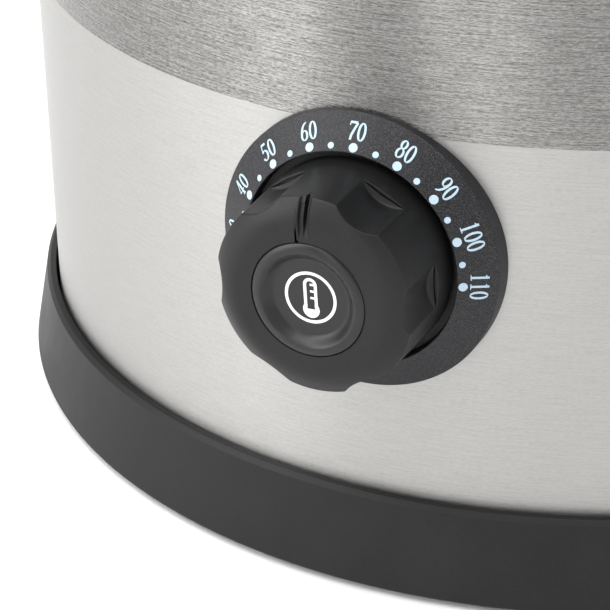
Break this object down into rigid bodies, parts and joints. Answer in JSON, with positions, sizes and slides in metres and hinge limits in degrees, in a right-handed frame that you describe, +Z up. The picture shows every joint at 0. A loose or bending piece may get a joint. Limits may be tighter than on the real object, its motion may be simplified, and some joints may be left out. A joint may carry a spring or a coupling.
{
  "type": "electric preserving cooker",
  "caption": "Tall round steel countertop cooker on a black base, with a lobed thermostat knob on a dial marked in degrees, a lift-off lid, side handles and a jar rack.",
  "frame": {"origin": "on the table, on the pot's vertical axis", "axes": "+Z up, the dial and knob face -Y"},
  "size_m": [0.432, 0.4044, 0.4901],
  "materials": {
    "shell_steel": "brushed round the body, satin",
    "lid_steel": "spun, half polished",
    "rack_steel": "pierced sheet, dull",
    "base_plastic": "moulded, fine mould texture",
    "dial_plastic": "moulded, spark texture",
    "knob_plastic": "moulded, satin",
    "knob_cap_plastic": "moulded, satin",
    "handle_plastic": "thermoset, half gloss",
    "foot_rubber": "matt",
    "gland_plastic": "moulded",
    "plate_steel": "zinc plated sheet",
    "screw_steel": "bright zinc",
    "spreader_aluminium": "rolled",
    "element_steel": "heat darkened",
    "terminal_brass": "plain",
    "sensor_copper": "drawn copper",
    "thermostat_plastic": "brown thermoset",
    "block_plastic": "cream",
    "wire_brown": "insulation",
    "wire_blue": "insulation",
    "wire_green": "insulation"
  },
  "bodies": {
    "body": {"base_plate": "plate_steel", "base_ring": "base_plastic", "base_screws": "screw_steel", "block_screws": "screw_steel", "bulb_clips": "screw_steel", "capillary_tube": "sensor_copper", "cord_gland": "gland_plastic", "dial_ring": "dial_plastic", "earth_screw": "screw_steel", "element_pins": "terminal_brass", "gland_dome_nut": "gland_plastic", "gland_locknut": "gland_plastic", "handle_left": "handle_plastic", "handle_right": "handle_plastic", "handle_screws": "screw_steel", "heat_shield": "plate_steel", "heat_spreader": "spreader_aluminium", "heating_element": "element_steel", "lower_shell": "shell_steel", "pot": "shell_steel", "rod_nut": "screw_steel", "rod_washer": "screw_steel", "rubber_feet": "foot_rubber", "sensor_bulb": "sensor_copper", "shield_nut": "screw_steel", "terminal_block": "block_plastic", "thermal_cutout": "thermostat_plastic", "thermostat_body": "thermostat_plastic", "thermostat_bracket": "plate_steel", "thermostat_screws": "screw_steel", "thermostat_terminals": "terminal_brass", "tie_rod": "screw_steel", "wire_earth": "wire_green", "wire_link": "wire_brown", "wire_live": "wire_brown", "wire_neutral": "wire_blue", "wire_switched": "wire_brown"},
    "knob": {"knob": "knob_plastic", "knob_cap": "knob_cap_plastic", "knob_clip": "screw_steel", "thermostat_shaft": "screw_steel"},
    "lid": {"lid": "lid_steel", "lid_knob": "handle_plastic", "lid_knob_washer": "foot_rubber", "lid_screw": "screw_steel"},
    "rack": {"jar_rack": "rack_steel"}
  },
  "joints": [
    {"name": "knob_turn", "type": "hinge", "parent": "body", "child": "knob", "pos_m": [0, -0.19, 0.1036], "axis": [0, 1, 0], "range_deg": [-111.4, 95.5]},
    {"name": "lid_lift", "type": "slide", "parent": "body", "child": "lid", "axis": [0, 0, 1], "range_m": [0, 0.25]},
    {"name": "rack_lift", "type": "slide", "parent": "body", "child": "rack", "axis": [0, 0, 1], "range_m": [0, 0.24]}
  ]
}
